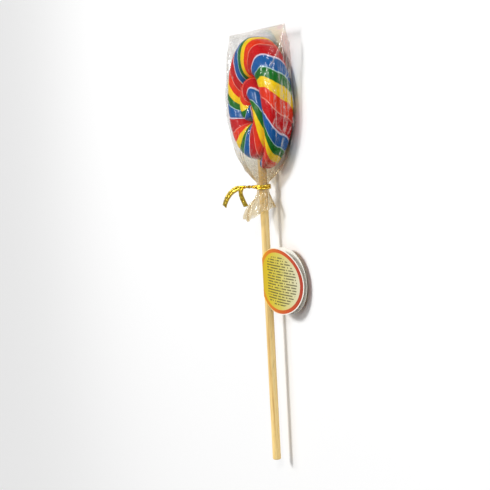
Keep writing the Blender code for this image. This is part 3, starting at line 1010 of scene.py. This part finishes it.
def make_film(material):
    """The bag: a fine tube stretched over the solid bag's form, with its folds."""
    bag = open_tube("film_bag", BAG_SIDES, BAG_CUTS)
    hull = film_hull()
    broad = facet_field(3, 12 * MM, 21 * MM)
    small = facet_field(8, 4.5 * MM, 7 * MM)
    starts = [vertex.co.copy() for vertex in bag.data.vertices]
    around = np.array([math.atan2(start.y, start.x) % FULL_TURN for start in starts])
    along = np.array([film_place(start.z + 0.5, turn) for start, turn in zip(starts, around)])
    across = around / FULL_TURN * GIRTH
    creases = crease_relief(across, along)
    gathers = gather_relief(around, along)
    reaches = {}
    for vertex, turn, place, girth_place, crease, gather in zip(
        bag.data.vertices, around, along, across, creases, gathers
    ):
        if place < NECK_LOW_Y:
            aim = Vector((math.cos(turn), 0, math.sin(turn)))
            point = skirt_point(turn, place)
        else:
            key = round(place / (0.01 * MM))
            if key not in reaches:
                reaches[key] = [reach(hull, place, Vector(axis)) for axis in ((1, 0, 0), (0, 0, 1))]
            half_width, half_height = reaches[key]
            aim = Vector((half_width * math.cos(turn), 0, half_height * math.sin(turn)))
            aim.normalize()
            point = Vector((0, place, MID_HEIGHT)) + aim * reach(hull, place, aim)
        above = smooth_step((place - NECK_TOP_Y) / (20 * MM))
        above *= smooth_step((SEAL_Y - place) / (16 * MM))
        below = smooth_step((NECK_LOW_Y - place) / (9 * MM))
        fine = facet_height(small, girth_place, place)
        facets = BROAD_FACETS * facet_height(broad, girth_place, place) + FINE_FACETS * fine
        off = gather + above * (crease + facets * MM) + below * SKIRT_FACETS * fine
        if abs(place - NECK_Y) < NECK_HALF_LENGTH:
            off = NECK_CRINKLES * (1 + noise.noise(point * 300))
        point += aim * off
        wave = FIN_WAVE * noise.noise(Vector((point.x * 34, point.y * 30, 3.3)))
        fin = smooth_step((point.y - FIN_START) / FIN_SPAN)
        point.z = max(point.z + wave * fin, ABOVE_FLOOR)
        vertex.co = point
    edit(bag)
    select_edges(bag, lambda edge: edge.is_boundary and edge.verts[0].co.y > SEAL_Y - 2 * MM)
    bpy.ops.mesh.edge_face_add()
    face_outwards()
    mark_creases(bag)
    shade_smooth(bag)
    add_materials(bag, material)
    finish_piece(bag, "film")


def ribbon_loop():
    """The ribbon round the neck: middle points, width directions and widths."""
    frames = []
    for step in range(LOOP_STEPS + 1):
        bearing = TWIST_BEARING + mix(LOOP_OPENING, FULL_TURN - LOOP_OPENING, step / LOOP_STEPS)
        out = Vector((math.cos(bearing), 0, math.sin(bearing)))
        frames.append((NECK + out * LOOP_RADIUS, ALONG, LOOP_WIDTH))
    return frames


def ribbon_strand(side):
    """One strand from the loop's end outwards, through the twist."""
    beside = Vector((-math.sin(TWIST_BEARING), 0, math.cos(TWIST_BEARING))) * side
    opening = TWIST_OUT * math.cos(LOOP_OPENING) + beside * math.sin(LOOP_OPENING)
    start = NECK + opening * LOOP_RADIUS
    heading = TWIST_OUT * math.sin(LOOP_OPENING) - beside * math.cos(LOOP_OPENING)
    end = NECK + TWIST_OUT * TWIST_START + beside * STRAND_OFFSET
    points = (start, start + heading * LEAD_HANDLE, end - TWIST_OUT * LEAD_HANDLE, end)
    frames = []
    for step in range(1, LEAD_STEPS + 1):
        share = step / LEAD_STEPS
        rest = 1 - share
        middle = points[0] * rest ** 3 + points[1] * (3 * rest ** 2 * share)
        middle += points[2] * (3 * rest * share ** 2) + points[3] * share ** 3
        frames.append((middle, ALONG, mix(LOOP_WIDTH, TWIST_WIDTH, share)))
    for step in range(1, TWIST_STEPS + 1):
        share = step / TWIST_STEPS
        turn = FULL_TURN * share
        offset = beside * math.cos(turn) + ALONG * (side * math.sin(turn))
        middle = NECK + TWIST_OUT * mix(TWIST_START, TWIST_END, share) + offset * STRAND_OFFSET
        flat = ALONG * math.cos(turn) - beside * (side * math.sin(turn))
        frames.append((middle, flat, TWIST_WIDTH))
    return frames


def ribbon_tail(start, tip, tip_flat, steps):
    """A tail's frames, curving from the twist's end to its tip."""
    end = NECK + tip
    bend = start + TWIST_OUT * TAIL_SWING * (end - start).length
    frames = []
    for step in range(1, steps + 1):
        share = step / steps
        middle = start.lerp(bend, share).lerp(bend.lerp(end, share), share)
        flat = ALONG.lerp(tip_flat, smooth_step(share)).normalized()
        frames.append((middle, flat, mix(TWIST_WIDTH, TAIL_WIDTH, smooth_step(3 * share))))
    return frames


def ribbon_frames():
    """Middle points, width directions and widths along the ribbon, from tip to tip."""
    short = ribbon_strand(1)
    short += ribbon_tail(short[-1][0], SHORT_TAIL_TIP, SHORT_TAIL_FLAT, SHORT_TAIL_STEPS)
    long = ribbon_strand(-1)
    long += ribbon_tail(long[-1][0], LONG_TAIL_TIP, LONG_TAIL_FLAT, LONG_TAIL_STEPS)
    return list(reversed(short)) + ribbon_loop() + long


def make_tie(material):
    """The gold ribbon: a strip laid along its route, crinkled, its wire down the middle."""
    frames = ribbon_frames()
    rows = len(frames) - 1
    strip = open_grid("gold_tie", RIBBON_COLUMNS, rows)
    for vertex in strip.data.vertices:
        across = 2 * vertex.co.x
        step = round((vertex.co.y + 0.5) * rows)
        middle, flat, width = frames[step]
        before = frames[max(step - 1, 0)][0]
        after = frames[min(step + 1, rows)][0]
        tangent = (after - before).normalized()
        side = (flat - tangent * flat.dot(tangent)).normalized()
        normal = tangent.cross(side)
        bunched = (TAIL_WIDTH - width) / (TAIL_WIDTH - TWIST_WIDTH)
        free = 1 - bunched
        crease = noise.noise(middle * 700 + Vector((0, 0, across * 1.4))) * mix(0.24, 0.14, free)
        crease += noise.noise(middle * 1700 + Vector((across * 2.2, 0, 5))) * 0.10
        cup = RIBBON_CUP * across * across * free
        wire = RIBBON_WIRE * math.exp(-(across / RIBBON_WIRE_WIDTH) ** 2)
        wavy = 0.11 * math.cos(across * 9) * bunched
        edge = 1 + 0.05 * noise.noise(middle * 900)
        vertex.co = middle + side * (0.5 * width * across * edge)
        vertex.co += normal * ((crease + cup + wire + wavy) * MM)
    lengths = [0.0]
    for here, there in zip(frames, frames[1:]):
        lengths.append(lengths[-1] + (there[0] - here[0]).length)
    layer = strip.data.uv_layers[0]
    layer.name = "ribbon"
    for corner in layer.data:
        step = round(corner.uv.y * rows)
        corner.uv = ((corner.uv.x - 0.5) * frames[step][2] / MM, lengths[step] / MM)
    wall = strip.modifiers.new("foil", "SOLIDIFY")
    wall.thickness = RIBBON_THICKNESS
    wall.offset = 0.0
    apply_modifiers(strip)
    edit(strip)
    face_outwards()
    shade_smooth(strip, 50)
    add_materials(strip, material)
    finish_piece(strip, "tie")


def tag_profile():
    """The bent paper seen along the stick: each point's share of a leaf, and its place."""
    bend = STICK_RADIUS + TAG_BEND_GAP
    quarter = 0.5 * math.pi
    steps = range(1, TAG_LEAF_STEPS + 1)
    shares = [math.sin(quarter * step / TAG_LEAF_STEPS) for step in steps]
    points = []
    for share in reversed(shares):
        sag = TAG_LOWER_DROOP * share ** 1.3
        points.append((-share, TAG_LEAF_LENGTH * share, MID_HEIGHT - bend - sag))
    for step in range(TAG_BEND_STEPS + 1):
        turn = -math.pi * (0.5 + step / TAG_BEND_STEPS)
        points.append((0.0, bend * math.cos(turn), MID_HEIGHT + bend * math.sin(turn)))
    for share in shares:
        lift = TAG_UPPER_SPRING * math.sin(math.pi * share) - TAG_UPPER_DROOP * share ** 1.1
        points.append((share, TAG_LEAF_LENGTH * share, MID_HEIGHT + bend + lift))
    return points


def tag_half_height(share):
    """Half of the leaf's height at a share of its length: an oval cut by the fold."""
    semi_length = TAG_LEAF_LENGTH - TAG_OVAL_CENTRE
    offset = (abs(share) * TAG_LEAF_LENGTH - TAG_OVAL_CENTRE) / semi_length
    return TAG_LEAF_HALF_HEIGHT * math.sqrt(max(1 - min(offset * offset, 0.999), 0.0))


def make_tag(materials):
    """The tag: a sheet bent round the stick, printed outside and plain inside."""
    profile = tag_profile()
    rows = len(profile) - 1
    tag = open_grid("paper_tag", TAG_COLUMNS, rows)
    mesh = tag.data
    shares = {}
    for vertex in mesh.vertices:
        step = round((vertex.co.y + 0.5) * rows)
        share, across, upright = profile[step]
        half = tag_half_height(share)
        height = 2 * vertex.co.x * half
        wave = TAG_WAVE * noise.noise(Vector((across * 40, height * 40, share))) * abs(share)
        shares[vertex.index] = (abs(share), height / TAG_LEAF_HALF_HEIGHT)
        vertex.co = Vector((across, TAG_CENTRE_Y + height, upright + wave))
    layer = only_uv_layer(mesh, "leaf")
    for loop in mesh.loops:
        layer.data[loop.index].uv = shares[loop.vertex_index]
    edit(tag)
    bpy.ops.mesh.select_all(action="SELECT")
    shape = bmesh.from_edit_mesh(mesh)
    highest = max(shape.faces, key=lambda face: face.calc_center_median().z)
    highest.normal_update()
    if highest.normal.z < 0:
        bpy.ops.mesh.flip_normals()
    leave_edit()
    add_materials(tag, *materials)
    wall = tag.modifiers.new("paper", "SOLIDIFY")
    wall.thickness = TAG_PAPER
    wall.offset = -1.0
    wall.material_offset = 1
    wall.material_offset_rim = 1
    apply_modifiers(tag)
    shade_smooth(tag, 40)
    finish_piece(tag, "tag")


def make_floor():
    """A plain pale floor."""
    deselect()
    bpy.ops.mesh.primitive_plane_add(size=FLOOR_WIDTH, location=(0, 0, -FLOOR_DROP))
    floor = bpy.context.object
    floor.name = "floor"
    material = bpy.data.materials.new("pale floor")
    material.use_nodes = True
    shader = material.node_tree.nodes["Principled BSDF"]
    shader.inputs["Base Color"].default_value = (0.86, 0.86, 0.86, 1)
    shader.inputs["Roughness"].default_value = 0.7
    floor.data.materials.append(material)


def look_from(item, place, target, up):
    """Turn a camera or a lamp at a place towards a target, with a given direction up."""
    forward = (target - place).normalized()
    right = forward.cross(up).normalized()
    above = right.cross(forward)
    turn = Matrix((right, above, -forward)).transposed()
    item.matrix_world = Matrix.Translation(place) @ turn.to_4x4()


def add_object(name, data):
    """A new camera or lamp in the scene."""
    item = bpy.data.objects.new(name, data)
    bpy.context.scene.collection.objects.link(item)
    return item


def make_camera():
    """The camera beside the lollipop, its picture upright along the stick."""
    camera = add_object("camera", bpy.data.cameras.new("camera"))
    camera.data.lens = LENS_MM
    place = Vector((
        CAMERA_DISTANCE * math.cos(CAMERA_SLANT),
        CAMERA_Y,
        MID_HEIGHT + CAMERA_DISTANCE * math.sin(CAMERA_SLANT),
    ))
    picture_right = Vector((math.sin(CAMERA_SLANT), 0, -math.cos(CAMERA_SLANT)))
    up = Vector((0, math.cos(CAMERA_ROLL), 0)) + picture_right * math.sin(CAMERA_ROLL)
    look_from(camera, place, AIM, up)
    bpy.context.scene.camera = camera


LAMP_AIM = Vector((0, -0.05, 0))
# The direction that each lamp takes as up
LAMP_UP = Vector((0, 1, 0.01))


def add_lamp(name, place, size, power):
    """A square soft lamp that faces the lollipop."""
    lamp = add_object(name, bpy.data.lights.new(name, "AREA"))
    lamp.data.shape = "SQUARE"
    lamp.data.size = size
    lamp.data.energy = power
    look_from(lamp, place, LAMP_AIM, LAMP_UP)


def make_light():
    """Soft white studio light from all round, with a few clear highlights."""
    world = bpy.data.worlds.new("studio")
    bpy.context.scene.world = world
    world.use_nodes = True
    tree = world.node_tree
    sky = tree.nodes["Background"]
    sky.inputs["Color"].default_value = (1, 1, 1, 1)
    direction = tree.nodes.new("ShaderNodeTexCoord")
    split = tree.nodes.new("ShaderNodeSeparateXYZ")
    height = tree.nodes.new("ShaderNodeMapRange")
    spans = {"From Min": 0.35, "From Max": 0.80, "To Min": 0.17, "To Max": 0.52}
    for name, number in spans.items():
        height.inputs[name].default_value = number
    backdrop = tree.nodes.new("ShaderNodeBackground")
    backdrop.inputs["Color"].default_value = (0.92, 0.92, 0.92, 1)
    seen = tree.nodes.new("ShaderNodeLightPath")
    choice = tree.nodes.new("ShaderNodeMixShader")
    for source, target in (
        (direction.outputs["Generated"], split.inputs[0]),
        (split.outputs["Z"], height.inputs["Value"]),
        (height.outputs["Result"], sky.inputs["Strength"]),
        (seen.outputs["Is Camera Ray"], choice.inputs[0]),
        (sky.outputs[0], choice.inputs[1]),
        (backdrop.outputs[0], choice.inputs[2]),
        (choice.outputs[0], tree.nodes["World Output"].inputs["Surface"]),
    ):
        tree.links.new(source, target)
    sun = add_object("window light", bpy.data.lights.new("window light", "SUN"))
    sun.data.energy = 2.0
    sun.data.angle = math.radians(14)
    look_from(sun, Vector((-0.1, 0.45, 0.9)), Vector((0, 0, 0)), LAMP_UP)
    add_lamp("key", Vector((-0.25, 0.25, 0.75)), size=0.11, power=0.75)
    add_lamp("side", Vector((0.85, 0.30, 0.42)), size=0.10, power=2.2)
    add_lamp("far strip", Vector((-0.45, 0.10, 0.55)), size=0.10, power=0.60)
    bpy.context.scene.view_settings.view_transform = "Standard"


make_camera()
make_light()
make_floor()
make_candy(candy_material())
make_stick(wood_material())
make_film(film_material())
make_tie(gold_material())
make_tag(paper_materials())
